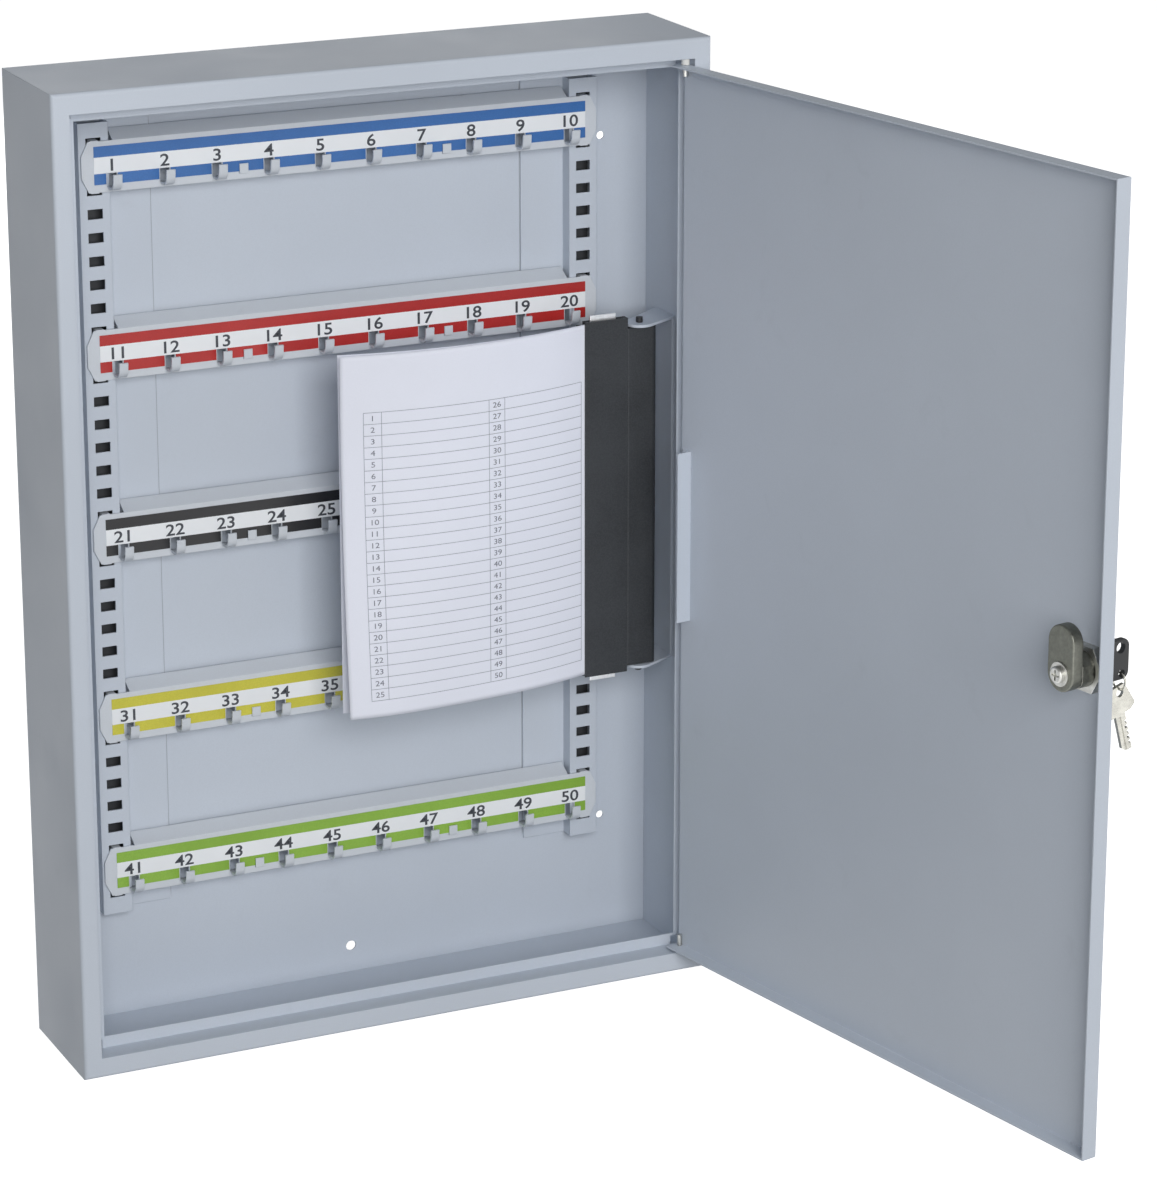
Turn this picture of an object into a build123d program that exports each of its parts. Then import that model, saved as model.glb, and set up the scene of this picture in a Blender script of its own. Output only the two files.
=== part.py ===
from build123d import *
import os
from math import cos, radians, sin

# Wall-mounted key cabinet of folded sheet steel, door standing open.
# Millimetres. X to the right seen from the front, +Y into the wall, Z up.
# The origin is the centre of the four wall-fixing holes, on the wall plane.
# Front-view profiles are drawn on Plane.XZ.offset(d), a plane d in front of the wall.

os.makedirs("parts", exist_ok=True)

# ---------- Driving dimensions: carcass ----------
width = 380.0
height = 550.0
depth = 80.0
sheet = 1.0                   # steel thickness
bend_radius = 2.0             # outer bends along the front frame
frame_side = 10.0             # front frame face, left and right
frame_end = 11.5              # front frame face, top and bottom
recess = 14.0                 # the door sits this deep in the frame
lip = 6.5                     # door-stop lip behind the recess: top, bottom and lock side
lip_hinge = 3.0               # the same lip on the hinge side
corner_relief = 5.0           # square cut where two lips meet

# ---------- Driving dimensions: wall fixing ----------
fixing_dx = 320.0
fixing_dz = 410.0
fixing_r = 2.25
fixing_low = 72.5             # height of the lower pair above the cabinet's base
centre_hole_r = 3.0
centre_hole_height = 17.0

# ---------- Driving dimensions: slotted uprights ----------
upright_x = 144.5             # centre of each channel
upright_w = 17.0
upright_d = 10.0              # how far the channel stands off the back panel
upright_low = 66.0
upright_high = 518.5
foot_w = 26.0                 # flat flange on the back panel, towards the middle
slot_w = 8.6
slot_h = 5.5
slot_pitch = 13.0
slot_count = 34
slot_top_height = 507.5

# ---------- Driving dimensions: hook rails ----------
rail_steps = [1, 9, 17, 25, 32]   # slots from the top slot down to each rail's middle
rail_half = 152.0
rail_half_h = 14.0
rail_gap = 0.3                # between rail plate and upright
rail_sheet = 1.2
end_chamfer = (4.0, 8.0)
flange_half = 134.0           # the flanges run between the two uprights
flange_rise = 5.0
flange_gap = 2.2              # between the top flange and the back panel
return_w = 6.0                # bottom return of a rail
hooks = 10
hook_pitch = 30.0
hook_w = 5.0
hook_reach = 9.5
hook_radius = 5.0
hook_lean = 0.8               # the tip leans this far forward
hook_foot = 11.6              # below the rail's middle
hook_tip = -3.0               # the tip stops this far below the rail's middle
window_w = 5.4
window_top = 3.0
lug_w = 4.5
lug_len = 3.8
lug_t = 2.4
clip_x = 60.0

# ---------- Driving dimensions: label strips ----------
label_half = 145.0
label_low = -9.7
label_high = 11.2
label_t = 0.4
notch_w = 6.6
notch_top = -3.7

# ---------- Driving dimensions: door ----------
open_angle = 101.0            # how far the door stands open
gap_hinge = 1.6
gap_lock = 2.0
door_low = 14.0
door_h = 521.0
door_flange = 10.0
pivot_in = 3.0                # pivot axis from the hinge edge
pivot_back = 2.8              # pivot axis behind the outer face
pin_r = 1.5
pin_fit = 0.05
pin_len = 10.0
pin_head_r = 1.75
pin_head_t = 0.5
bush_r = 2.3

# ---------- Driving dimensions: lock and keys ----------
lock_from_edge = 17.0
lock_height = 279.0
barrel_r = 9.5
barrel_len = 14.0
head_r = 11.0
head_t = 3.0
plug_r = 6.0
nut_af = 24.0
nut_t = 5.0
cam_back = 14.5               # cam's first face, from the door's outer face
cam_t = 7.0
cam_r = 9.5
cam_reach = 26.0
drive = 8.0
key_t = 2.0
bow_t = 3.4
bow_hole_r = 3.0              # large hole in the upper half of the bow
ring_r = 4.6
ring_wire = 0.6
spare_tilt = 16.0

# ---------- Driving dimensions: index register ----------
pin_x = 165.0
pin_y = -42.0
rod_r = 2.0
ear_r = 8.0
ear_t = 1.5
ear_low = 178.5               # underside of the lower ear
ear_high = 382.5              # top of the upper ear
web_front = 38.0
web_back = 15.5
cover_left = 129.0
cover_step = 155.5            # the cover is full height up to here, then fits between the ears
cover_low = 177.0
cover_high = 387.0
pocket_right = 153.0          # end of the slot that takes the sheets
spine_t = 9.0
spine_round = 3.0
clamp_x = 141.0
clamp_y = -44.2
clamp_w = 16.0
clamp_t = 1.4
clamp_over = 3.0              # clamp and rod stand out past the cover and ears
paper_h = 207.0
paper_left = -22.0
paper_held = 146.0            # the held edge, inside the cover
paper_bow_x = 50.0
paper_t = 0.3

# ---------- Worked out ----------
base = -(fixing_low + fixing_dz / 2)
mid = base + height / 2
open_w = width - 2 * frame_side
open_h = height - 2 * frame_end
face_d = upright_d + sheet                    # front of the uprights, from the wall
rail_back = face_d + rail_gap                 # back of a rail plate, from the wall
rail_front = rail_back + rail_sheet
hinge_x = open_w / 2 - gap_hinge
door_w = open_w - gap_hinge - gap_lock
pivot_x = hinge_x - pivot_in
pivot_y = -(depth - pivot_back)
turn = radians(open_angle)
along = (-cos(turn), -sin(turn), 0)           # from the hinge edge to the lock edge
inward = (-sin(turn), cos(turn), 0)           # from the outer face to the inner face
outward = (sin(turn), -cos(turn), 0)
corner_x = pivot_x + pivot_in * cos(turn) + pivot_back * sin(turn)
corner_y = pivot_y + pivot_in * sin(turn) - pivot_back * cos(turn)
lock_x = door_w - lock_from_edge

# Door plane: local x from the hinge edge, local y up, offset inwards from the outer face.
door_face = Plane(origin=(corner_x, corner_y, base), x_dir=along, z_dir=inward)
lock_face = Plane(origin=door_face.from_local_coords((lock_x, lock_height, 0)),
                  x_dir=along, z_dir=inward)
# Key plane: local x straight out of the lock, local y up.
key_face = Plane(origin=lock_face.origin, x_dir=outward, z_dir=along)


def save(builder, name):
    """Label one finished piece and write it."""
    builder.part.label = name
    export_step(builder.part, "parts/" + name + ".step")


# ================= Cabinet =================
with BuildPart() as cabinet_shell:
    with BuildSketch(Plane.XZ):
        with Locations((0, mid)):
            Rectangle(width, height)
    extrude(amount=depth)
    fillet(faces().sort_by(Axis.Y)[0].edges(), bend_radius)
    with BuildSketch(Plane.XZ):
        with Locations((0, mid)):
            Rectangle(width - 2 * sheet, height - 2 * sheet)
    extrude(amount=depth - sheet, mode=Mode.SUBTRACT)
    with BuildSketch(Plane.XZ.offset(depth - sheet)):
        with Locations((0, mid)):
            Rectangle(open_w, open_h)
    extrude(amount=sheet, mode=Mode.SUBTRACT)
    with BuildSketch(Plane.XZ.offset(depth - recess)):
        with Locations((0, mid)):
            Rectangle(open_w + 2 * sheet, open_h + 2 * sheet)
            Rectangle(open_w, open_h, mode=Mode.SUBTRACT)
    extrude(amount=recess - sheet)
    with BuildSketch(Plane.XZ.offset(depth - recess - sheet)):
        with Locations((0, mid)):
            Rectangle(open_w + 2 * sheet, open_h + 2 * sheet)
        with Locations(((lip - lip_hinge) / 2, mid)):
            Rectangle(open_w - lip - lip_hinge, open_h - 2 * lip, mode=Mode.SUBTRACT)
        with Locations((0, mid)):
            with GridLocations(open_w - corner_relief, open_h - corner_relief, 2, 2):
                Rectangle(corner_relief, corner_relief, mode=Mode.SUBTRACT)
    extrude(amount=sheet)
    with BuildSketch(Plane.XY.offset(base + frame_end / 2)):
        with Locations((pivot_x, pivot_y)):
            Circle(pin_r + 0.02)
    extrude(amount=height - frame_end, mode=Mode.SUBTRACT)
save(cabinet_shell, "cabinet_shell")

with BuildPart() as back_panel:
    with BuildSketch(Plane.XZ):
        with Locations((0, mid)):
            Rectangle(width - 2 * sheet, height - 2 * sheet)
        with GridLocations(fixing_dx, fixing_dz, 2, 2):
            Circle(fixing_r, mode=Mode.SUBTRACT)
        with Locations((0, base + centre_hole_height)):
            Circle(centre_hole_r, mode=Mode.SUBTRACT)
    extrude(amount=sheet)
save(back_panel, "back_panel")


def make_upright(side, name):
    """Slotted channel with a flat foot towards the middle; side is -1 left, 1 right."""
    centre = side * upright_x
    inner = centre - side * upright_w / 2
    with BuildPart() as upright:
        with BuildSketch(Plane.XY.offset(base + upright_low)):
            with Locations((centre, -(upright_d + sheet / 2))):
                Rectangle(upright_w, sheet)
            with Locations((centre, -(upright_d + sheet) / 2)):
                with GridLocations(upright_w - sheet, 1, 2, 1):
                    Rectangle(sheet, upright_d - sheet)
            with Locations((inner - side * (foot_w - sheet) / 2, -1.5 * sheet)):
                Rectangle(foot_w + sheet, sheet)
        extrude(amount=upright_high - upright_low)
        slot_mid = base + slot_top_height - slot_pitch * (slot_count - 1) / 2
        with BuildSketch(Plane.XZ.offset(upright_d)):
            with Locations((centre, slot_mid)):
                with GridLocations(1, slot_pitch, 1, slot_count):
                    Rectangle(slot_w, slot_h)
        extrude(amount=sheet, mode=Mode.SUBTRACT)
    save(upright, name)


make_upright(-1, "upright_left")
make_upright(1, "upright_right")


def make_hinge_pin(shelf, inside, name):
    """Pivot pin: head on the hidden side of the frame ledge, shank through the door flange."""
    with BuildPart() as pin:
        with BuildSketch(Plane.XY.offset(shelf)):
            with Locations((pivot_x, pivot_y)):
                Circle(pin_r)
        extrude(amount=inside * pin_len)
        with BuildSketch(Plane.XY.offset(shelf)):
            with Locations((pivot_x, pivot_y)):
                Circle(pin_r)
        extrude(amount=-inside * sheet)
        with BuildSketch(Plane.XY.offset(shelf - inside * sheet)):
            with Locations((pivot_x, pivot_y)):
                Circle(pin_head_r)
        extrude(amount=-inside * (sheet + pin_head_t))
    save(pin, name)


make_hinge_pin(base + height - frame_end, -1, "hinge_pin_top")
make_hinge_pin(base + frame_end, 1, "hinge_pin_bottom")


def make_bush(low, high, name):
    """Nylon spacer on a pivot pin, between the frame ledge and the door flange."""
    with BuildPart() as bush:
        with BuildSketch(Plane.XY.offset(base + low)):
            with Locations((pivot_x, pivot_y)):
                Circle(bush_r)
                Circle(pin_r + pin_fit, mode=Mode.SUBTRACT)
        extrude(amount=high - low)
    save(bush, name)


make_bush(door_low + door_h + 0.1, height - frame_end, "hinge_bush_top")
make_bush(frame_end, door_low - 0.1, "hinge_bush_bottom")

# ================= Register bracket =================
with BuildPart() as register_bracket:
    wall_x = width / 2 - sheet
    with BuildSketch(Plane.XY.offset(base + ear_low)):
        with Locations((wall_x - ear_t / 2, -(web_front + web_back) / 2)):
            Rectangle(ear_t, web_front - web_back)
    extrude(amount=ear_high - ear_low)
    for ear_z in (ear_low, ear_high - ear_t):
        with BuildSketch(Plane.XY.offset(base + ear_z)):
            with Locations((pin_x, pin_y)):
                Circle(ear_r)
            with Locations((wall_x - ear_t / 2, -(web_front + web_back) / 2)):
                Rectangle(ear_t, web_front - web_back)
            make_hull()
            with Locations((pin_x, pin_y)):
                Circle(rod_r + pin_fit, mode=Mode.SUBTRACT)
        extrude(amount=ear_t)
save(register_bracket, "register_bracket")

# ================= Index register =================
leaf_front = 47.0             # front of the cover's leaf, from the wall
leaf_back = 42.5
pocket_front = 46.0
pocket_back = 43.4
spine_right = 174.0
spine_gap = 0.5               # between spine and ears
with BuildPart() as register_cover:
    with BuildSketch(Plane.XY.offset(base + cover_low)):
        with Locations(((cover_left + cover_step) / 2, -(leaf_front + leaf_back) / 2)):
            Rectangle(cover_step - cover_left, leaf_front - leaf_back)
    extrude(amount=cover_high - cover_low)
    with BuildSketch(Plane.XY.offset(base + ear_low + ear_t + spine_gap)):
        with Locations(((cover_step + spine_right) / 2 - 1, pin_y - 0.5)):
            RectangleRounded(spine_right - cover_step + 2, spine_t, spine_round)
    extrude(amount=ear_high - ear_low - 2 * ear_t - 2 * spine_gap)
    fillet(edges().filter_by(Axis.Z).group_by(Axis.X)[0], 0.4)
    with BuildSketch(Plane.XY.offset(base + cover_low)):
        with Locations(((cover_left + pocket_right) / 2, -(pocket_front + pocket_back) / 2)):
            Rectangle(pocket_right - cover_left, pocket_front - pocket_back)
    extrude(amount=cover_high - cover_low, mode=Mode.SUBTRACT)
    with BuildSketch(Plane.XY.offset(base + ear_low)):
        with Locations((pin_x, pin_y)):
            Circle(rod_r + 0.02)
    extrude(amount=ear_high - ear_low, mode=Mode.SUBTRACT)
save(register_cover, "register_cover")

with BuildPart() as register_clamp:
    with BuildSketch(Plane.XY.offset(base + cover_low - clamp_over)):
        with Locations((clamp_x, clamp_y)):
            RectangleRounded(clamp_w, clamp_t, 0.3)
    extrude(amount=cover_high - cover_low + 2 * clamp_over)
save(register_clamp, "register_clamp")

with BuildPart() as register_rod:
    with BuildSketch(Plane.XY.offset(base + ear_low - clamp_over)):
        with Locations((pin_x, pin_y)):
            Circle(rod_r)
    extrude(amount=ear_high - ear_low + 2 * clamp_over)
save(register_rod, "register_rod")


def make_sheet(start_y, middle_y, end_y, left, name):
    """One index sheet held in the cover, bowing gently towards the front."""
    with BuildPart() as page:
        with BuildSketch(Plane.XY.offset(base + cover_low + 1.5)):
            with BuildLine():
                Line((paper_held, start_y), (cover_left, start_y))
                ThreePointArc((cover_left, start_y), (paper_bow_x, middle_y), (left, end_y))
            trace(line_width=paper_t)
        extrude(amount=paper_h)
    save(page, name)


make_sheet(-45.75, -60.5, -53.0, paper_left, "register_sheet_front")
make_sheet(-45.2, -57.5, -48.5, paper_left + 0.5, "register_sheet_back")


# ================= Hook rails and their labels =================
def make_rail(centre, name):
    """Pressed rail: label plate, sloped top flange, bottom return, ten hooks, four lugs."""
    cut_x, cut_z = end_chamfer
    first_hook = -hook_pitch * (hooks - 1) / 2
    with BuildPart() as rail:
        with BuildSketch(Plane.XZ.offset(rail_back)):
            with BuildLine():
                Polyline((-rail_half, centre - rail_half_h + cut_z),
                         (-rail_half, centre + rail_half_h - cut_z),
                         (-rail_half + cut_x, centre + rail_half_h),
                         (rail_half - cut_x, centre + rail_half_h),
                         (rail_half, centre + rail_half_h - cut_z),
                         (rail_half, centre - rail_half_h + cut_z),
                         (rail_half - cut_x, centre - rail_half_h),
                         (-rail_half + cut_x, centre - rail_half_h),
                         close=True)
            make_face()
            with Locations((0, centre + (window_top - hook_foot) / 2)):
                with GridLocations(hook_pitch, 1, hooks, 1):
                    Rectangle(window_w, window_top + hook_foot, mode=Mode.SUBTRACT)
        extrude(amount=rail_sheet)
        top = centre + rail_half_h
        low = centre - rail_half_h
        with BuildSketch(Plane.YZ.offset(-flange_half)):
            with BuildLine():
                Polyline((-rail_front, top - rail_sheet), (-rail_front, top),
                         (-sheet - flange_gap, top + flange_rise),
                         (-sheet - flange_gap, top + flange_rise - rail_sheet),
                         (-rail_back, top - rail_sheet), close=True)
            make_face()
            with Locations((-rail_back + return_w / 2, low + rail_sheet / 2)):
                Rectangle(return_w, rail_sheet)
        extrude(amount=2 * flange_half)
        for index in range(hooks):
            with BuildSketch(Plane.YZ.offset(first_hook + index * hook_pitch - hook_w / 2)):
                with BuildLine():
                    FilletPolyline((-rail_back, centre - hook_foot),
                                   (-rail_front - hook_reach + hook_lean, centre - hook_foot),
                                   (-rail_front - hook_reach, centre + hook_tip), radius=hook_radius)
                trace(line_width=rail_sheet)
            extrude(amount=hook_w)
        with BuildSketch(Plane.XZ.offset(rail_back - lug_len)):
            with Locations((0, centre)):
                with GridLocations(2 * upright_x, 2 * slot_pitch + 0.4, 2, 2):
                    Rectangle(lug_w, lug_t)
        extrude(amount=lug_len + rail_sheet)
        with BuildSketch(Plane.YZ.offset(-clip_x - hook_w / 2)) as clip_profile:
            with Locations((-rail_front - 0.7, centre + label_low - 0.7)):
                Rectangle(1.4, 0.8)
            with Locations((-rail_front - 1.05, centre + label_low + 1.8)):
                Rectangle(0.7, 5.0)
        extrude(amount=hook_w)
        with BuildSketch(Plane.YZ.offset(clip_x - hook_w / 2)):
            add(clip_profile.sketch_local)
        extrude(amount=hook_w)
    save(rail, name)


def make_label(centre, name):
    """Printed strip on a rail, cut out round the hooks."""
    with BuildPart() as label:
        with BuildSketch(Plane.XZ.offset(rail_front)):
            with Locations((0, centre + (label_high + label_low) / 2)):
                Rectangle(2 * label_half, label_high - label_low)
            with Locations((0, centre + (notch_top + label_low) / 2 - 0.5)):
                with GridLocations(hook_pitch, 1, hooks, 1):
                    Rectangle(notch_w, notch_top - label_low + 1.0, mode=Mode.SUBTRACT)
        extrude(amount=label_t)
    save(label, name)


for number, step in enumerate(rail_steps, start=1):
    rail_z = base + slot_top_height - step * slot_pitch
    make_rail(rail_z, "hook_rail_" + str(number))
    make_label(rail_z, "label_strip_" + str(number))

# ================= Door =================
with BuildPart() as door_panel:
    with BuildSketch(door_face):
        with Locations((door_w / 2, door_low + door_h / 2)):
            Rectangle(door_w, door_h)
    extrude(amount=door_flange)
    outer = faces().sort_by(Axis(door_face.origin, inward))[0]
    fillet(outer.edges().sort_by(Axis(door_face.origin, along))[1:], 1.5)
    with BuildSketch(door_face.offset(sheet)):
        with Locations(((door_w - sheet) / 2, door_low + door_h / 2)):
            Rectangle(door_w - sheet, door_h - 2 * sheet)
    extrude(amount=door_flange - sheet, mode=Mode.SUBTRACT)
    with BuildSketch(door_face):
        with Locations((lock_x, lock_height)):
            Circle(barrel_r + pin_fit)
    extrude(amount=sheet, mode=Mode.SUBTRACT)
    with BuildSketch(Plane.XY.offset(base)):
        with Locations((pivot_x, pivot_y)):
            Circle(pin_r + pin_fit)
    extrude(amount=height, mode=Mode.SUBTRACT)
save(door_panel, "door_panel")

bracket_low = 215.0
bracket_len = 100.0
bracket_from_hinge = 7.0
bracket_foot = 5.0            # spot-welded foot, towards the hinge edge
bracket_t = 1.2
with BuildPart() as hinge_side_bracket:
    with BuildSketch(door_face.offset(sheet)):
        with Locations((bracket_from_hinge - bracket_foot / 2, bracket_low + bracket_len / 2)):
            Rectangle(bracket_foot, bracket_len)
    extrude(amount=bracket_t)
    with BuildSketch(door_face.offset(sheet)):
        with Locations((bracket_from_hinge + bracket_t / 2, bracket_low + bracket_len / 2)):
            Rectangle(bracket_t, bracket_len)
    extrude(amount=door_flange - sheet)
save(hinge_side_bracket, "hinge_side_bracket")

# ================= Lock =================
with BuildPart() as lock_housing:
    with BuildSketch(lock_face.offset(-head_t)):
        Circle(head_r)
    extrude(amount=head_t)
    fillet(edges().sort_by(Axis(lock_face.origin, inward))[0], 1.2)
    with BuildSketch(lock_face):
        Circle(barrel_r)
        with GridLocations(2 * barrel_r + 0.6, 1, 2, 1):
            Rectangle(2.4, 2 * barrel_r, mode=Mode.SUBTRACT)
    extrude(amount=barrel_len)
    with BuildSketch(lock_face.offset(-head_t)):
        Circle(plug_r + pin_fit)
    extrude(amount=head_t + barrel_len, mode=Mode.SUBTRACT)
save(lock_housing, "lock_housing")

with BuildPart() as lock_nut:
    with BuildSketch(lock_face.offset(sheet)):
        RegularPolygon(nut_af / 2, 6, major_radius=False)
        Circle(barrel_r + pin_fit, mode=Mode.SUBTRACT)
    extrude(amount=nut_t)
save(lock_nut, "lock_nut")

with BuildPart() as lock_plug:
    with BuildSketch(lock_face.offset(-head_t + 0.4)):
        Circle(plug_r)
    extrude(amount=head_t - 0.4 + barrel_len + 0.3)
    with BuildSketch(lock_face.offset(barrel_len + 0.3)):
        Rectangle(drive, drive)
    extrude(amount=cam_back + cam_t - barrel_len - 0.3)
    with BuildSketch(lock_face.offset(-head_t + 0.4)):
        Rectangle(key_t + 0.3, 7.2)
    extrude(amount=head_t - 0.4 + 12.0, mode=Mode.SUBTRACT)
    with BuildSketch(lock_face.offset(cam_back + cam_t - 8.0)):
        Circle(2.02)
    extrude(amount=8.0, mode=Mode.SUBTRACT)
save(lock_plug, "lock_plug")

with BuildPart() as cam:
    with BuildSketch(lock_face.offset(cam_back)):
        Circle(cam_r)
        with Locations((0, cam_reach - cam_r)):
            Circle(cam_r)
        with Locations((0, (cam_reach - cam_r) / 2)):
            Rectangle(2 * cam_r, cam_reach - cam_r)
        Rectangle(drive + 0.1, drive + 0.1, mode=Mode.SUBTRACT)
    extrude(amount=cam_t)
    rim = edges().filter_by(GeomType.CIRCLE).group_by(Axis(lock_face.origin, inward))
    fillet(rim[0] + rim[-1], 0.8)
save(cam, "cam")

with BuildPart() as cam_washer:
    with BuildSketch(lock_face.offset(cam_back + cam_t)):
        Circle(6.4)
        Circle(2.1, mode=Mode.SUBTRACT)
    extrude(amount=0.8)
save(cam_washer, "cam_washer")

with BuildPart() as cam_screw:
    with BuildSketch(lock_face.offset(cam_back + cam_t + 0.8)):
        Circle(4.4)
    extrude(amount=2.6)
    fillet(edges().sort_by(Axis(lock_face.origin, inward))[-1], 0.9)
    with BuildSketch(lock_face.offset(cam_back + cam_t + 0.8)):
        Circle(2.0)
    extrude(amount=-7.6)
    with BuildSketch(lock_face.offset(cam_back + cam_t + 2.2)):
        Rectangle(5.6, 1.1)
        Rectangle(1.1, 5.6)
    extrude(amount=1.2, mode=Mode.SUBTRACT)
save(cam_screw, "cam_screw")

# ================= Keys =================
shank_end = 14.0
bow_near = 7.0
bow_far = 24.5
bow_half = 11.0
ring_out = 19.5               # how far out of the door the ring hangs
ring_hole_z = -7.6
spare_hole_z = -18.1
with BuildPart() as key_blade:
    with BuildSketch(key_face):
        with Locations(((shank_end - 11.4) / 2, 0)):
            Rectangle(shank_end + 11.4, 6.4)
        for place, cut in ((-9.4, 1.6), (-7.2, 1.0), (-5.0, 1.8), (-2.8, 1.2)):
            with Locations((place, 3.2)):
                Rectangle(1.3, 2 * cut, mode=Mode.SUBTRACT)
        with Locations((-11.4, -3.2)):
            Rectangle(3.0, 3.0, rotation=45, mode=Mode.SUBTRACT)
    extrude(amount=key_t / 2, both=True)
save(key_blade, "key_blade")

with BuildPart() as key_bow:
    with BuildSketch(key_face):
        with Locations(((bow_near + bow_far) / 2, 0)):
            RectangleRounded(bow_far - bow_near, 2 * bow_half, 4.5)
        with Locations((18.5, 6.4)):
            Circle(bow_hole_r, mode=Mode.SUBTRACT)
        with Locations((ring_out, ring_hole_z)):
            Circle(2.2, mode=Mode.SUBTRACT)
    extrude(amount=bow_t / 2, both=True)
    fillet(faces().sort_by(Axis(key_face.origin, along))[-1].outer_wire().edges(), 0.7)
    fillet(faces().sort_by(Axis(key_face.origin, along))[0].outer_wire().edges(), 0.7)
    with BuildSketch(key_face):
        with Locations(((bow_near + shank_end) / 2, 0)):
            Rectangle(shank_end - bow_near, 6.5)
    extrude(amount=key_t / 2 + 0.05, both=True, mode=Mode.SUBTRACT)
save(key_bow, "key_bow")

ring_centre = key_face.from_local_coords((ring_out, ring_hole_z + 0.2 - ring_r, 0))
ring_plane = Plane(origin=ring_centre, x_dir=along, z_dir=outward)
ring_side = ring_plane.from_local_coords((ring_r, 0, 0))
with BuildPart() as key_ring:
    with BuildSketch(Plane(origin=ring_side, x_dir=along, z_dir=(0, 0, 1))):
        Circle(ring_wire)
    revolve(axis=Axis(ring_centre, outward), revolution_arc=360)
save(key_ring, "key_ring")

spare_hole = key_face.from_local_coords((ring_out, spare_hole_z, 0))
tilt = radians(spare_tilt)
spare_x = (outward[0] * cos(tilt), outward[1] * cos(tilt), sin(tilt))
spare_face = Plane(origin=spare_hole, x_dir=spare_x, z_dir=along)
blade_u = -2.5
with BuildPart() as spare_key:
    with BuildSketch(spare_face):
        with BuildLine():
            FilletPolyline((-5.5, 3.8), (4.0, 3.8), (8.5, -9.5), (5.0, -12.0),
                           (-10.0, -12.0), (-13.0, -9.5), close=True, radius=1.2)
        make_face()
        with Locations((blade_u, -22.0)):
            Rectangle(6.4, 22.0)
        Circle(2.4, mode=Mode.SUBTRACT)
        for place, cut in ((-17.0, 1.2), (-20.0, 1.9), (-23.0, 1.0), (-26.0, 1.7), (-29.0, 1.3)):
            with Locations((blade_u + 3.2, place)):
                Rectangle(2 * cut, 1.5, mode=Mode.SUBTRACT)
        with Locations((blade_u - 3.2, -33.0)):
            Rectangle(3.4, 3.4, rotation=45, mode=Mode.SUBTRACT)
    extrude(amount=key_t / 2, both=True)
    for side in (-1, 1):
        with BuildSketch(spare_face.offset(side * (key_t / 2 - 0.5))):
            with Locations((blade_u - 0.8, -23.0)):
                Rectangle(1.4, 20.0)
        extrude(amount=side * 0.5, mode=Mode.SUBTRACT)
save(spare_key, "spare_key")
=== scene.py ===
import bpy
import bmesh
from math import hypot, pi, sin
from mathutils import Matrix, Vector


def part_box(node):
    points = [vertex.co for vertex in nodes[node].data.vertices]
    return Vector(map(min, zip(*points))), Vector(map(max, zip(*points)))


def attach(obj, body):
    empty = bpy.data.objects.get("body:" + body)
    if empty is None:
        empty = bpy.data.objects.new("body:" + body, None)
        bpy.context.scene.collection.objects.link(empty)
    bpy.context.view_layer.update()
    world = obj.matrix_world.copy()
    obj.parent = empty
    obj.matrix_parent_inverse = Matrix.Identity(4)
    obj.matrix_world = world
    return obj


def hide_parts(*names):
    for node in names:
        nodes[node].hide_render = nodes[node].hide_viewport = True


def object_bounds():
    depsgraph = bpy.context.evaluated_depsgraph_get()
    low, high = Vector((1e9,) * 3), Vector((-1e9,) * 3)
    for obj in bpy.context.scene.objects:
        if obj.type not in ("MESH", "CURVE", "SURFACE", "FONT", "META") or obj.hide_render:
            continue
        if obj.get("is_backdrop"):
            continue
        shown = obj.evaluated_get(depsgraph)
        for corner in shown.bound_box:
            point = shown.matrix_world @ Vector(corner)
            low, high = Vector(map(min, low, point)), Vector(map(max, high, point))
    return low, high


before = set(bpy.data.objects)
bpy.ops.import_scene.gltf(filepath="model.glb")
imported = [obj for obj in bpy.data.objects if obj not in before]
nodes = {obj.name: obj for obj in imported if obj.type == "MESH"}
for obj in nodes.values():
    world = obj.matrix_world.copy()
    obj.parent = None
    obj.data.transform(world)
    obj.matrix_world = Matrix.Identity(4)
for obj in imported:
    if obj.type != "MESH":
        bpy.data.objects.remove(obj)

cad_low, cad_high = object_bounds()

MM = 0.001


# ---------------------------------------------------------------- node helpers
def new_material(name):
    material = bpy.data.materials.new(name)
    material.use_nodes = True
    tree = material.node_tree
    coords = tree.nodes.new("ShaderNodeTexCoord").outputs["Object"]
    return material, tree, tree.nodes["Principled BSDF"], coords


def feed(tree, socket, value):
    if isinstance(value, bpy.types.NodeSocket):
        tree.links.new(value, socket)
    elif isinstance(value, tuple) and len(value) == 3 and socket.type == "RGBA":
        socket.default_value = (*value, 1.0)
    else:
        socket.default_value = value


def along_axes(tree, coords):
    """The separate X, Y and Z of the coordinates."""
    node = tree.nodes.new("ShaderNodeSeparateXYZ")
    tree.links.new(coords, node.inputs[0])
    return node.outputs


def stretched(tree, coords, x, y, z):
    node = tree.nodes.new("ShaderNodeMapping")
    tree.links.new(coords, node.inputs["Vector"])
    node.inputs["Scale"].default_value = (x, y, z)
    return node.outputs["Vector"]


def noise(tree, coords, scale, detail=3.0, rough=0.5, distort=0.0):
    node = tree.nodes.new("ShaderNodeTexNoise")
    tree.links.new(coords, node.inputs["Vector"])
    node.inputs["Scale"].default_value = scale
    node.inputs["Detail"].default_value = detail
    node.inputs["Roughness"].default_value = rough
    node.inputs["Distortion"].default_value = distort
    return node.outputs["Fac"]


def cells(tree, coords, scale, feature="F1"):
    node = tree.nodes.new("ShaderNodeTexVoronoi")
    node.feature = feature
    tree.links.new(coords, node.inputs["Vector"])
    node.inputs["Scale"].default_value = scale
    return node.outputs["Distance"]


def calc(tree, operation, a, b=0.0):
    node = tree.nodes.new("ShaderNodeMath")
    node.operation = operation
    feed(tree, node.inputs[0], a)
    feed(tree, node.inputs[1], b)
    return node.outputs[0]


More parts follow.
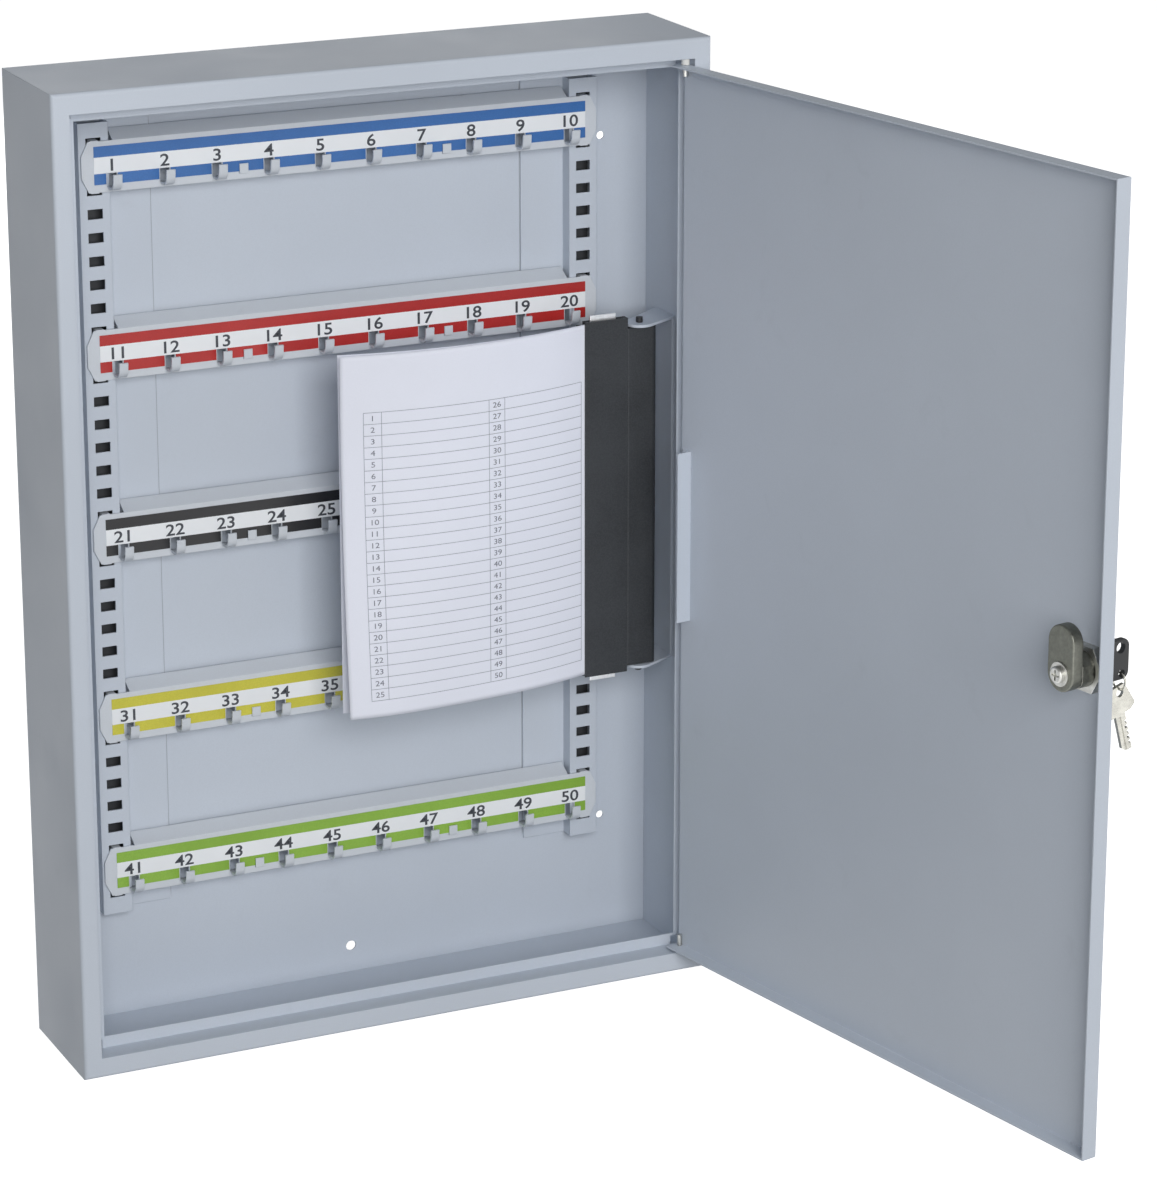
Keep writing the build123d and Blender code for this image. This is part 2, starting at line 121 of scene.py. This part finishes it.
def remap(tree, value, from_low, from_high, to_low, to_high):
    node = tree.nodes.new("ShaderNodeMapRange")
    tree.links.new(value, node.inputs["Value"])
    node.inputs["From Min"].default_value = from_low
    node.inputs["From Max"].default_value = from_high
    node.inputs["To Min"].default_value = to_low
    node.inputs["To Max"].default_value = to_high
    return node.outputs["Result"]


def blend(tree, factor, a, b):
    node = tree.nodes.new("ShaderNodeMix")
    node.data_type = "RGBA"
    feed(tree, node.inputs[0], factor)
    feed(tree, node.inputs[6], a)
    feed(tree, node.inputs[7], b)
    return node.outputs[2]


def bump(tree, height, distance, strength, normal=None):
    node = tree.nodes.new("ShaderNodeBump")
    node.inputs["Distance"].default_value = distance
    node.inputs["Strength"].default_value = strength
    tree.links.new(height, node.inputs["Height"])
    if normal is not None:
        tree.links.new(normal, node.inputs["Normal"])
    return node.outputs["Normal"]


# Cosines between the rounded and the true normal where the edge mask starts and is full.
EDGE_STARTS = 0.995
EDGE_FULL = 0.8


def rounded(tree, radius):
    """Normals rounded over every edge, and a mask that is 1 along the edges."""
    node = tree.nodes.new("ShaderNodeBevel")
    node.samples = 6
    node.inputs["Radius"].default_value = radius
    geometry = tree.nodes.new("ShaderNodeNewGeometry")
    dot = tree.nodes.new("ShaderNodeVectorMath")
    dot.operation = "DOT_PRODUCT"
    tree.links.new(node.outputs["Normal"], dot.inputs[0])
    tree.links.new(geometry.outputs["Normal"], dot.inputs[1])
    mask = remap(tree, dot.outputs["Value"], EDGE_STARTS, EDGE_FULL, 0.0, 1.0)
    return node.outputs["Normal"], mask


def scaled(colour, k):
    return tuple(min(1.0, c * k) for c in colour)


def clouded(tree, value, colour, dark, light):
    """A slow change of tone between a darker and a lighter share of one colour."""
    share = remap(tree, value, 0.3, 0.7, 0.0, 1.0)
    return blend(tree, share, scaled(colour, dark), scaled(colour, light))


# ------------------------------------------------------------------- materials
# Radii of the softened edges.
PAINTED_EDGE = 0.45 * MM
CAST_EDGE = 0.5 * MM
MOULDED_EDGE = 0.4 * MM


def powder_coat(name, colour, roughness, peel, channel_shade=False):
    """Stoved powder coat: clouded tone, fine orange peel, edges paler in colour as part wear,
    part painted highlight.
    """
    material, tree, shader, coords = new_material(name)
    cloud = noise(tree, coords, 5.0, 4.0, 0.55)
    grain = noise(tree, coords, 1400.0, 2.0, 0.6)
    dust = noise(tree, coords, 38.0, 8.0, 0.68, 0.6)
    tone = clouded(tree, cloud, colour, 0.955, 1.03)
    tone = blend(tree, remap(tree, grain, 0.35, 0.75, 0.0, 0.35), tone, scaled(colour, 0.90))
    marks = remap(tree, dust, 0.60, 0.76, 0.0, 0.22)
    tone = blend(tree, marks, tone, scaled(colour, 0.80))
    normal, edge = rounded(tree, PAINTED_EDGE)
    # Edges lighter in colour: part wear, where the dust noise is high, and part painted highlight
    # along every edge.
    wear_and_edge_highlight = calc(tree, "MULTIPLY", edge, remap(tree, dust, 0.35, 0.6, 0.15, 0.75))
    tone = blend(tree, wear_and_edge_highlight, tone, scaled(colour, 1.28))
    # The panel's version adds painted shade behind the uprights and a painted shadow beside each
    # foot's step.
    if channel_shade:
        tone = shade_inside_channels(tree, coords, tone)
    tree.links.new(tone, shader.inputs["Base Color"])
    smear = remap(tree, noise(tree, coords, 14.0, 6.0, 0.6), 0.3, 0.7, -0.06, 0.07)
    tree.links.new(calc(tree, "ADD", smear, roughness), shader.inputs["Roughness"])
    shader.inputs["Specular IOR Level"].default_value = 0.45
    orange = noise(tree, coords, 620.0, 2.5, 0.5)
    sag = noise(tree, coords, 7.0, 1.0, 0.4)
    normal = bump(tree, sag, 1.6 * MM, 0.25, normal)
    normal = bump(tree, orange, 0.05 * MM, peel, normal)
    normal = bump(tree, grain, 0.02 * MM, peel, normal)
    tree.links.new(normal, shader.inputs["Normal"])
    return material


def shade_inside_channels(tree, coords, tone):
    """The back panel behind each upright: painted shade inside the channel, and a painted shadow
    beside the foot's step.
    """
    split = along_axes(tree, coords)
    beside = calc(tree, "ABSOLUTE", split["X"])
    off = calc(tree, "ABSOLUTE", calc(tree, "SUBTRACT", beside, CHANNEL_X))
    across = remap(tree, off, CHANNEL_HALF, CHANNEL_HALF - SIDE_FADE, 0.0, 1.0)
    low = remap(tree, split["Z"], CHANNEL_LOW, CHANNEL_LOW + END_FADE, 0.0, 1.0)
    high = remap(tree, split["Z"], CHANNEL_HIGH, CHANNEL_HIGH - END_FADE, 0.0, 1.0)
    # Painted shade: a near-black mottled tone on the panel inside each channel, where the light
    # does not reach.
    shade_mottle = noise(tree, coords, 90.0, 5.0, 0.6)
    painted_shade_tone = blend(tree, shade_mottle, (0.030, 0.032, 0.036), (0.075, 0.080, 0.088))
    front = calc(tree, "LESS_THAN", split["Y"], BEHIND_FACE)
    span = calc(tree, "MULTIPLY", low, high)
    mask = calc(tree, "MULTIPLY", calc(tree, "MULTIPLY", across, span), front)
    # Painted shadow: a thin dark band on the panel just outside each foot's step.
    shadow_offset = calc(tree, "ABSOLUTE", calc(tree, "SUBTRACT", beside, FOOT_EDGE - SHADOW_OUT))
    line = remap(tree, shadow_offset, SHADOW_FAR, SHADOW_NEAR, 0.0, 0.55)
    line = calc(tree, "MULTIPLY", calc(tree, "MULTIPLY", line, front), span)
    tone = blend(tree, line, tone, scaled(BODY, 0.30))
    return blend(tree, mask, tone, painted_shade_tone)


def plated(name, colour, roughness, lines, edge_radius=0.25, tarnish=0.8):
    """Plated or uncoated metal with drawn lines, faint stains and edges painted brighter, part
    rubbing, part painted highlight.
    """
    material, tree, shader, coords = new_material(name)
    drawn = noise(tree, stretched(tree, coords, *lines), 60.0, 5.0, 0.65)
    stain = noise(tree, coords, 160.0, 5.0, 0.6)
    stained = remap(tree, stain, 0.38, 0.66, 0.0, 0.8)
    tone = blend(tree, stained, scaled(colour, 1.06), scaled(colour, tarnish))
    tone = blend(tree, remap(tree, drawn, 0.4, 0.7, 0.0, 0.4), tone, scaled(colour, 0.72))
    normal, edge = rounded(tree, edge_radius * MM)
    # Edges painted brighter: part rubbing, part painted highlight.
    tone = blend(tree, calc(tree, "MULTIPLY", edge, 0.7), tone, scaled(colour, 1.35))
    tree.links.new(tone, shader.inputs["Base Color"])
    shader.inputs["Metallic"].default_value = 1.0
    spread = remap(tree, stain, 0.3, 0.7, -0.07, 0.10)
    spread = calc(tree, "ADD", spread, remap(tree, drawn, 0.3, 0.7, -0.05, 0.06))
    tree.links.new(calc(tree, "ADD", spread, roughness), shader.inputs["Roughness"])
    normal = bump(tree, drawn, 0.03 * MM, 0.5, normal)
    tree.links.new(normal, shader.inputs["Normal"])
    return material


def die_cast(name, colour):
    """Dull cast zinc alloy with a passivated, slightly pitted skin."""
    material, tree, shader, coords = new_material(name)
    skin = noise(tree, coords, 420.0, 6.0, 0.65)
    pits = cells(tree, coords, 1500.0)
    tone = clouded(tree, skin, colour, 0.72, 1.18)
    normal, edge = rounded(tree, CAST_EDGE)
    # Edges painted paler and brighter: part rubbing, part painted highlight.
    rubbing_and_edge_highlight = calc(tree, "MULTIPLY", edge, remap(tree, skin, 0.4, 0.6, 0.3, 1.0))
    tone = blend(tree, rubbing_and_edge_highlight, tone, (0.62, 0.61, 0.56))
    tree.links.new(tone, shader.inputs["Base Color"])
    shader.inputs["Metallic"].default_value = 0.85
    tree.links.new(remap(tree, skin, 0.3, 0.7, 0.34, 0.54), shader.inputs["Roughness"])
    normal = bump(tree, pits, 0.04 * MM, 0.4, normal)
    normal = bump(tree, skin, 0.05 * MM, 0.4, normal)
    tree.links.new(normal, shader.inputs["Normal"])
    return material


def moulded(name, colour, roughness, grain_scale, depth, lift):
    """Moulded plastic with a fine pebbled grain and edges painted paler, part rubbing, part
    painted highlight.
    """
    material, tree, shader, coords = new_material(name)
    pebble = cells(tree, coords, grain_scale, "SMOOTH_F1")
    patch = noise(tree, coords, 22.0, 5.0, 0.6)
    tone = clouded(tree, patch, colour, 0.8, 1.25)
    raised = remap(tree, pebble, 0.1, 0.6, 0.35, 0.0)
    tone = blend(tree, raised, tone, scaled(colour, 1.0 + lift * 0.5))
    normal, edge = rounded(tree, MOULDED_EDGE)
    # Edges painted paler: part rubbing, part painted highlight.
    tone = blend(tree, calc(tree, "MULTIPLY", edge, 0.6), tone, scaled(colour, 1.0 + lift))
    tree.links.new(tone, shader.inputs["Base Color"])
    shader.inputs["Specular IOR Level"].default_value = 0.4
    matt = remap(tree, patch, 0.3, 0.7, roughness - 0.07, roughness + 0.08)
    tree.links.new(matt, shader.inputs["Roughness"])
    normal = bump(tree, pebble, depth * MM, 0.55, normal)
    tree.links.new(normal, shader.inputs["Normal"])
    return material


def paper(name, colour):
    """Uncoated paper: fibre, faint clouding, soft matt surface."""
    material, tree, shader, coords = new_material(name)
    fibre = noise(tree, stretched(tree, coords, 1.0, 1.0, 2.2), 900.0, 5.0, 0.7)
    shade = noise(tree, coords, 9.0, 4.0, 0.5)
    tone = clouded(tree, shade, colour, 0.965, 1.02)
    tone = blend(tree, remap(tree, fibre, 0.45, 0.75, 0.0, 0.3), tone, scaled(colour, 0.90))
    tree.links.new(tone, shader.inputs["Base Color"])
    shader.inputs["Specular IOR Level"].default_value = 0.25
    tree.links.new(remap(tree, fibre, 0.3, 0.7, 0.62, 0.82), shader.inputs["Roughness"])
    normal = bump(tree, shade, 1.2 * MM, 0.3)
    tree.links.new(bump(tree, fibre, 0.02 * MM, 0.4, normal), shader.inputs["Normal"])
    return material


def ink(name, colour):
    """Printed ink: uneven coverage and a slightly soft gloss."""
    material, tree, shader, coords = new_material(name)
    cover = noise(tree, coords, 1800.0, 4.0, 0.7)
    tone = blend(tree, remap(tree, cover, 0.5, 0.8, 0.0, 0.5), colour, scaled(colour, 2.2))
    tree.links.new(tone, shader.inputs["Base Color"])
    tree.links.new(remap(tree, cover, 0.3, 0.7, 0.45, 0.65), shader.inputs["Roughness"])
    tree.links.new(bump(tree, cover, 0.01 * MM, 0.3), shader.inputs["Normal"])
    return material


def striped_label(name, colour, centre):
    """White printed strip with a coloured stripe above and below; centre is the rail's height."""
    material, tree, shader, coords = new_material(name)
    high = calc(tree, "SUBTRACT", along_axes(tree, coords)["Z"], centre)
    fray = remap(tree, noise(tree, coords, 1500.0, 3.0, 0.6), 0.0, 1.0, -FRAY, FRAY)
    high = calc(tree, "ADD", high, fray)
    upper = calc(tree, "GREATER_THAN", high, STRIPE_HIGH)
    lower = calc(tree, "LESS_THAN", high, STRIPE_LOW)
    stripe = calc(tree, "MAXIMUM", upper, lower)
    print_grain = noise(tree, coords, 1300.0, 4.0, 0.7)
    cloud = noise(tree, coords, 20.0, 4.0, 0.6)
    white = blend(tree, remap(tree, cloud, 0.3, 0.7, 0.0, 1.0), CARD_DARK, CARD_LIGHT)
    thin = remap(tree, print_grain, 0.4, 0.75, 0.0, 0.45)
    printed = blend(tree, thin, colour, scaled(colour, 1.45))
    printed = blend(tree, remap(tree, cloud, 0.35, 0.65, 0.0, 0.5), printed, scaled(colour, 0.82))
    tree.links.new(blend(tree, stripe, white, printed), shader.inputs["Base Color"])
    shader.inputs["Specular IOR Level"].default_value = 0.45
    tree.links.new(remap(tree, cloud, 0.3, 0.7, 0.30, 0.44), shader.inputs["Roughness"])
    normal = bump(tree, cloud, 0.5 * MM, 0.25)
    tree.links.new(bump(tree, print_grain, 0.015 * MM, 0.3, normal), shader.inputs["Normal"])
    return material


# Label strips: the white band's limits above and below the rail's height, the ragged edge
# of the coloured print, and the two tones of the white card.
STRIPE_HIGH = 5.3 * MM
STRIPE_LOW = -3.7 * MM
FRAY = 0.12 * MM
CARD_DARK = (0.85, 0.875, 0.90)
CARD_LIGHT = (0.90, 0.925, 0.945)

BODY = (0.565, 0.618, 0.695)

# The uprights: middle and half width of the slotted face, inner edge of the foot, and ends.
upright_low, upright_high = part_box("upright_left")
CHANNEL_X = 144.5 * MM
CHANNEL_HALF = 8.0 * MM
FOOT_EDGE = abs(upright_high.x)
CHANNEL_LOW = upright_low.z
CHANNEL_HIGH = upright_high.z

# The painted shade on the panel behind them: soft borders, and the depth that keeps it off the
# cabinet's back.
SIDE_FADE = 0.5 * MM
END_FADE = 4.0 * MM
BEHIND_FACE = -0.5 * MM

# The painted shadow beside the foot's step: its distance outside the foot, and where it is full
# and where it has gone.
SHADOW_OUT = 0.35 * MM
SHADOW_NEAR = 0.25 * MM
SHADOW_FAR = 0.45 * MM

body_paint = powder_coat("body_paint", BODY, 0.46, 0.35)
panel_paint = powder_coat("panel_paint", BODY, 0.46, 0.35, True)
rail_paint = powder_coat("rail_paint", (0.64, 0.68, 0.73), 0.40, 0.25)
zinc = plated("zinc_steel", (0.60, 0.60, 0.57), 0.36, (1.0, 1.0, 6.0))
bright = plated("bright_steel", (0.95, 0.95, 0.95), 0.38, (8.0, 8.0, 1.0), 0.3, 0.9)
nickel = plated("key_steel", (0.56, 0.55, 0.50), 0.24, (1.0, 1.0, 9.0), 0.3)
cast = die_cast("die_cast", (0.185, 0.19, 0.165))
black_steel = moulded("black_steel", (0.022, 0.023, 0.026), 0.38, 2600.0, 0.01, 2.0)
black_cover = moulded("black_plastic", (0.027, 0.030, 0.034), 0.50, 1300.0, 0.06, 2.2)
black_bow = moulded("key_plastic", (0.017, 0.018, 0.020), 0.36, 2400.0, 0.02, 2.4)
nylon = moulded("nylon", (0.72, 0.72, 0.69), 0.42, 2200.0, 0.02, 0.15)
page_paper = paper("paper", (0.86, 0.885, 0.98))
dark_ink = ink("label_ink", (0.045, 0.05, 0.062))
page_ink = ink("page_ink", (0.14, 0.15, 0.19))
grey_ink = ink("ruling_ink", (0.26, 0.28, 0.34))

ROW_COLOURS = {
    "blue": (0.040, 0.150, 0.420),
    "red": (0.440, 0.022, 0.020),
    "black": (0.012, 0.012, 0.014),
    "yellow": (0.600, 0.560, 0.055),
    "green": (0.250, 0.450, 0.050),
}

FINISHES = (
    (body_paint, ("cabinet_shell", "upright_left", "upright_right", "door_panel")),
    (body_paint, ("register_bracket", "hinge_side_bracket")),
    (panel_paint, ("back_panel",)),
    (zinc, ("hinge_pin_top", "hinge_pin_bottom", "lock_nut", "cam_washer", "cam_screw")),
    (nylon, ("hinge_bush_top", "hinge_bush_bottom")),
    (cast, ("lock_housing", "lock_plug", "cam")),
    (nickel, ("key_blade", "spare_key", "key_ring")),
    (bright, ("register_clamp",)),
    (black_steel, ("register_rod",)),
    (black_cover, ("register_cover",)),
    (black_bow, ("key_bow",)),
    (page_paper, ("register_sheet_back",)),
)


def dress(obj, material):
    obj.data.materials.clear()
    obj.data.materials.append(material)


for finish, names in FINISHES:
    for name in names:
        dress(nodes[name], finish)


# ------------------------------------------------------------ mesh and printing
def new_piece(name, bm, material, body):
    mesh = bpy.data.meshes.new(name)
    bm.to_mesh(mesh)
    bm.free()
    piece = bpy.data.objects.new(name, mesh)
    bpy.context.scene.collection.objects.link(piece)
    mesh.materials.append(material)
    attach(piece, body)
    return piece


FIGURE_STEPS = 4
DIGIT_WIDE = 1.22


def figure(text, size, weight):
    """The flat mesh of one printed number, centred on its own origin."""
    curve = bpy.data.curves.new("figure", "FONT")
    curve.body = text
    curve.size = size
    curve.align_x = "CENTER"
    curve.align_y = "CENTER"
    curve.resolution_u = FIGURE_STEPS
    curve.offset = weight
    holder = bpy.data.objects.new("figure", curve)
    mesh = bpy.data.meshes.new_from_object(holder)
    bpy.data.objects.remove(holder)
    return mesh


def print_figure(bm, text, size, weight, place):
    """Add one number to bm; place turns a flat point into its place on the object."""
    mesh = figure(text, size, weight)
    heights = [v.co.y for v in mesh.vertices]
    middle = (min(heights) + max(heights)) / 2
    made = [bm.verts.new(place(v.co.x * DIGIT_WIDE, v.co.y - middle)) for v in mesh.vertices]
    for polygon in mesh.polygons:
        corners = [made[i] for i in polygon.vertices]
        if len(set(corners)) == len(corners) and bm.faces.get(corners) is None:
            bm.faces.new(corners)
    bpy.data.meshes.remove(mesh)


# ------------------------------------------------------------------ hook labels
HOOK_PITCH = 30.0 * MM
HOOKS = 10
PRINT_LIFT = 0.05 * MM
RAIL_BELOW_TOP = 11.2 * MM    # from the strip's top edge down to the rail's height
HOOK_DIGIT = 9.3 * MM
HOOK_DIGIT_WEIGHT = 0.13 * MM
HOOK_DIGIT_RAISE = 0.7 * MM

for row, (colour_name, colour) in enumerate(ROW_COLOURS.items(), start=1):
    strip = "label_strip_" + str(row)
    rail = "hook_rail_" + str(row)
    low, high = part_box(strip)
    centre = high.z - RAIL_BELOW_TOP
    dress(nodes[rail], rail_paint)
    dress(nodes[strip], striped_label("label_" + colour_name, colour, centre))
    front = low.y - PRINT_LIFT
    bm = bmesh.new()
    for hook in range(HOOKS):
        across = (hook - (HOOKS - 1) / 2) * HOOK_PITCH

        def place(x, y, across=across, front=front, centre=centre):
            return Vector((across + x, front, centre + HOOK_DIGIT_RAISE + y))

        number = str((row - 1) * HOOKS + hook + 1)
        print_figure(bm, number, HOOK_DIGIT, HOOK_DIGIT_WEIGHT, place)
    new_piece("label_numbers_" + str(row), bm, dark_ink, "rail_" + str(row))


# ---------------------------------------------------------------- register page
page_low, page_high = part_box("register_sheet_front")
PAGE_FREE = page_low.x
PAGE_HELD = page_high.x
PAGE_BOTTOM = page_low.z
PAGE_TOP = page_high.z
PAGE_THICK = 0.2 * MM
COVER_EDGE = 129.0 * MM
HELD_Y = -45.75 * MM
BOW = (50.0 * MM, -60.5 * MM)
FREE_END = (-22.0 * MM, -53.0 * MM)

# The lower free corner's curl: how far it stands forward, and the shares of the page's width
# and height over which it grows.
CURL = 9.0 * MM
CURL_OUT_START = 0.35
CURL_OUT_SPAN = 0.75
CURL_UP_END = 0.62
CURL_UP_SPAN = 0.72
CURL_POWER = 1.25

# A faint wave up the free edge.
WAVE = 0.5 * MM
WAVE_RATE = 9.0
WAVE_START = 0.6


def circle_through(a, b, c):
    """Centre and radius of the circle through three points."""
    d = 2 * (a[0] * (b[1] - c[1]) + b[0] * (c[1] - a[1]) + c[0] * (a[1] - b[1]))
    sa, sb, sc = (p[0] ** 2 + p[1] ** 2 for p in (a, b, c))
    x = (sa * (b[1] - c[1]) + sb * (c[1] - a[1]) + sc * (a[1] - b[1])) / d
    y = (sa * (c[0] - b[0]) + sb * (a[0] - c[0]) + sc * (b[0] - a[0])) / d
    return x, y, hypot(a[0] - x, a[1] - y)


bow_x, bow_y, bow_r = circle_through((COVER_EDGE, HELD_Y), BOW, FREE_END)


def smooth(t):
    t = max(0.0, min(1.0, t))
    return t * t * (3 - 2 * t)


def page_y(x, z):
    """Where the page's middle lies: flat in the cover, bowed outside it, corner curling up."""
    if x > COVER_EDGE:
        return HELD_Y
    side = -1.0 if BOW[1] < bow_y else 1.0
    y = bow_y + side * (max(bow_r ** 2 - (x - bow_x) ** 2, 0.0)) ** 0.5
    out = (COVER_EDGE - x) / (COVER_EDGE - PAGE_FREE)
    up = (z - PAGE_BOTTOM) / (PAGE_TOP - PAGE_BOTTOM)
    corner = smooth((out - CURL_OUT_START) / CURL_OUT_SPAN)
    corner *= smooth((CURL_UP_END - up) / CURL_UP_SPAN)
    wave = WAVE * sin(up * WAVE_RATE + WAVE_START) * out * out
    return y - CURL * corner ** CURL_POWER + wave


def page_point(x, z, lift=0.0):
    return Vector((x, page_y(x, z) - lift, z))


ACROSS = 70
UP = 80
bm = bmesh.new()
grid = []
for i in range(ACROSS + 1):
    x = PAGE_FREE + (PAGE_HELD - PAGE_FREE) * i / ACROSS
    column = []
    for j in range(UP + 1):
        z = PAGE_BOTTOM + (PAGE_TOP - PAGE_BOTTOM) * j / UP
        column.append(bm.verts.new(page_point(x, z)))
    grid.append(column)
for i in range(ACROSS):
    for j in range(UP):
        face = bm.faces.new((grid[i][j], grid[i + 1][j], grid[i + 1][j + 1], grid[i][j + 1]))
        face.smooth = True
page = new_piece("register_page", bm, page_paper, "register")
thick = page.modifiers.new("thickness", "SOLIDIFY")
thick.thickness = PAGE_THICK
thick.offset = 0.0
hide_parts("register_sheet_front")

# Ruling and row numbers, generic: two columns of twenty-five rows.
ROWS = 25
ROW_PITCH = 6.6 * MM
FOOT_MARGIN = 9.5 * MM
LINE_WIDTH = 0.30 * MM
INK_LIFT = 0.18 * MM
COLUMNS = [edge * MM for edge in (-9.5, 0.5, 64.0, 74.0, 126.5)]
NUMBER_MIDDLES = (-4.5 * MM, 69.0 * MM)
PAGE_DIGIT = 4.4 * MM
STEPS_ACROSS = 70
STEPS_UP = 60
rules_low = PAGE_BOTTOM + FOOT_MARGIN
rules_high = rules_low + ROWS * ROW_PITCH


def ribbon(bm, points, width, upright):
    """A thin printed line through the points, as a strip of faces."""
    before = None
    for x, z in points:
        if upright:
            pair = ((x - width / 2, z), (x + width / 2, z))
        else:
            pair = ((x, z - width / 2), (x, z + width / 2))
        now = [bm.verts.new(page_point(px, pz, INK_LIFT)) for px, pz in pair]
        if before is not None:
            bm.faces.new((before[0], before[1], now[1], now[0]))
        before = now


def steps(a, b, count):
    return [a + (b - a) * k / count for k in range(count + 1)]


bm = bmesh.new()
for row in range(ROWS + 1):
    z = rules_low + row * ROW_PITCH
    ribbon(bm, [(x, z) for x in steps(COLUMNS[0], COLUMNS[-1], STEPS_ACROSS)], LINE_WIDTH, False)
for column in COLUMNS:
    ribbon(bm, [(column, z) for z in steps(rules_low, rules_high, STEPS_UP)], LINE_WIDTH, True)
new_piece("register_ruling", bm, grey_ink, "register")

bm = bmesh.new()
for half, across in enumerate(NUMBER_MIDDLES):
    for row in range(ROWS):
        middle = rules_high - (row + 0.5) * ROW_PITCH

        def place(x, y, across=across, middle=middle):
            return page_point(across + x, middle + y, INK_LIFT)

        print_figure(bm, str(half * ROWS + row + 1), PAGE_DIGIT, 0.0, place)
new_piece("register_numbers", bm, page_ink, "register")


# ------------------------------------------------------------------------ stage
FLOOR_HALF = 14.0
FLOOR_GAP = 0.2 * MM
FLOOR_GLOW = 0.82
WORLD_LIGHT = 0.20


def stage_material():
    material, tree, shader, coords = new_material("floor")
    soft = noise(tree, coords, 2.0, 3.0, 0.5)
    tone = blend(tree, soft, (0.90, 0.90, 0.90), (0.93, 0.93, 0.93))
    tree.links.new(tone, shader.inputs["Base Color"])
    shader.inputs["Roughness"].default_value = 0.9
    shader.inputs["Specular IOR Level"].default_value = 0.1
    shader.inputs["Emission Color"].default_value = (1.0, 1.0, 1.0, 1.0)
    shader.inputs["Emission Strength"].default_value = FLOOR_GLOW
    tree.links.new(bump(tree, soft, 0.5 * MM, 0.1), shader.inputs["Normal"])
    return material


bm = bmesh.new()
bmesh.ops.create_grid(bm, x_segments=8, y_segments=8, size=FLOOR_HALF)
floor_mesh = bpy.data.meshes.new("floor")
bm.to_mesh(floor_mesh)
bm.free()
floor = bpy.data.objects.new("floor", floor_mesh)
floor.location.z = cad_low.z - FLOOR_GAP
bpy.context.scene.collection.objects.link(floor)
floor_mesh.materials.append(stage_material())
floor.visible_diffuse = False
floor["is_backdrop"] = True

# The world is white to the camera and a dimmer, cooler light on the object.
world = bpy.data.worlds.new("studio")
bpy.context.scene.world = world
world.use_nodes = True
sky = world.node_tree
sky.nodes.clear()
lit = sky.nodes.new("ShaderNodeBackground")
lit.inputs["Color"].default_value = (0.95, 0.975, 1.0, 1.0)
lit.inputs["Strength"].default_value = WORLD_LIGHT
seen = sky.nodes.new("ShaderNodeBackground")
seen.inputs["Color"].default_value = (1.0, 1.0, 1.0, 1.0)
seen.inputs["Strength"].default_value = 1.0
path = sky.nodes.new("ShaderNodeLightPath")
choose = sky.nodes.new("ShaderNodeMixShader")
out = sky.nodes.new("ShaderNodeOutputWorld")
sky.links.new(path.outputs["Is Camera Ray"], choose.inputs[0])
sky.links.new(lit.outputs[0], choose.inputs[1])
sky.links.new(seen.outputs[0], choose.inputs[2])
sky.links.new(choose.outputs[0], out.inputs["Surface"])


def softbox(name, place, target, size, power, colour):
    lamp = bpy.data.lights.new(name, "AREA")
    lamp.shape = "RECTANGLE"
    lamp.size, lamp.size_y = size
    lamp.energy = power
    lamp.color = colour
    holder = bpy.data.objects.new(name, lamp)
    holder.location = place
    holder.visible_camera = False
    holder.rotation_mode = "QUATERNION"
    holder.rotation_quaternion = (Vector(target) - Vector(place)).to_track_quat("-Z", "Y")
    bpy.context.scene.collection.objects.link(holder)


softbox("key", (-0.46, -2.7, 0.92), (0.1, 0.0, 0.0), (1.7, 1.5), 54.0, (1.0, 0.99, 0.985))
softbox("top", (0.2, -0.3, 2.3), (0.1, -0.1, 0.0), (1.6, 1.2), 1.0, (1.0, 1.0, 1.0))
softbox("back", (0.6, 2.4, 0.35), (0.0, 0.0, 0.0), (1.4, 1.0), 10.0, (1.0, 1.0, 1.0))
softbox("side", (2.3, -0.4, 0.9), (0.2, -0.2, 0.0), (1.4, 1.4), 14.0, (1.0, 1.0, 1.0))

# ----------------------------------------------------------------------- camera
SENSOR = 36.0
FOCAL_PIXELS = 4345.0
FRAME_HEIGHT = 1200.0
LOOK_DOWN = 0.2912
TURN = -0.4407

camera = bpy.data.cameras.new("camera")
camera.sensor_width = SENSOR
camera.lens = FOCAL_PIXELS * SENSOR / FRAME_HEIGHT
camera.shift_x = -0.005
camera.shift_y = -0.085
camera.clip_start = 0.05
camera.clip_end = 60.0
viewer = bpy.data.objects.new("camera", camera)
viewer.location = (-0.87768, -2.18025, 0.71411)
viewer.rotation_euler = (pi / 2 - LOOK_DOWN, 0.0, TURN)
bpy.context.scene.collection.objects.link(viewer)
bpy.context.scene.camera = viewer
bpy.context.scene.view_settings.view_transform = "Standard"

bpy.context.view_layer.update()
low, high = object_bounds()
